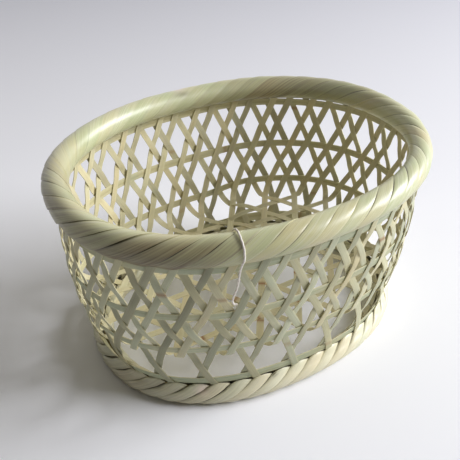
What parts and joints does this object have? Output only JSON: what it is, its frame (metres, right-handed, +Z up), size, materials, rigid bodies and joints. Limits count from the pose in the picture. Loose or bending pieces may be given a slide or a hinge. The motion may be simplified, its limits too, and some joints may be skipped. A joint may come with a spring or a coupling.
{
  "type": "bamboo tea bowl basket",
  "caption": "Oval openwork basket of woven bamboo splints with a wrapped rope-like rim, a wrapped foot ring and a raised open hexagonal weave floor for a tea bowl.",
  "frame": {"origin": "on the table surface under the middle of the basket", "axes": "+X along the oval's length, +Y across it, +Z up through the open top"},
  "size_m": [0.24, 0.1878, 0.1331],
  "materials": {
    "rim_bamboo": "satin",
    "foot_bamboo": "satin",
    "splint_bamboo": "satin",
    "floor_bamboo": "satin",
    "hoop_bamboo": "satin",
    "core_bamboo": "satin",
    "thread": "matte"
  },
  "bodies": {
    "root": {"rim_wrap": "rim_bamboo", "rim_core_outer": "core_bamboo", "rim_core_inner": "core_bamboo", "foot_wrap": "foot_bamboo", "foot_core": "core_bamboo", "hoop_low": "hoop_bamboo", "hoop_floor": "hoop_bamboo", "hoop_middle": "hoop_bamboo", "hoop_top": "hoop_bamboo", "foot_splint_01": "splint_bamboo", "foot_splint_02": "splint_bamboo", "foot_splint_03": "splint_bamboo", "foot_splint_04": "splint_bamboo", "foot_splint_05": "splint_bamboo", "foot_splint_06": "splint_bamboo", "foot_splint_07": "splint_bamboo", "foot_splint_08": "splint_bamboo", "foot_splint_09": "splint_bamboo", "foot_splint_10": "splint_bamboo", "foot_splint_11": "splint_bamboo", "foot_splint_12": "splint_bamboo", "foot_splint_13": "splint_bamboo", "foot_splint_14": "splint_bamboo", "foot_splint_15": "splint_bamboo", "foot_splint_16": "splint_bamboo", "foot_splint_17": "splint_bamboo", "foot_splint_18": "splint_bamboo", "foot_splint_19": "splint_bamboo", "foot_splint_20": "splint_bamboo", "foot_splint_21": "splint_bamboo", "foot_splint_22": "splint_bamboo", "floor_splint_long_1": "floor_bamboo", "floor_splint_long_2": "floor_bamboo", "floor_splint_long_3": "floor_bamboo", "floor_splint_long_4": "floor_bamboo", "floor_splint_long_5": "floor_bamboo", "floor_splint_long_6": "floor_bamboo", "floor_splint_right_1": "floor_bamboo", "floor_splint_right_2": "floor_bamboo", "floor_splint_right_3": "floor_bamboo", "floor_splint_right_4": "floor_bamboo", "floor_splint_right_5": "floor_bamboo", "floor_splint_right_6": "floor_bamboo", "floor_splint_right_7": "floor_bamboo", "floor_splint_right_8": "floor_bamboo", "floor_splint_left_1": "floor_bamboo", "floor_splint_left_2": "floor_bamboo", "floor_splint_left_3": "floor_bamboo", "floor_splint_left_4": "floor_bamboo", "floor_splint_left_5": "floor_bamboo", "floor_splint_left_6": "floor_bamboo", "floor_splint_left_7": "floor_bamboo", "floor_splint_left_8": "floor_bamboo", "tag_thread": "thread"}
  },
  "joints": []
}
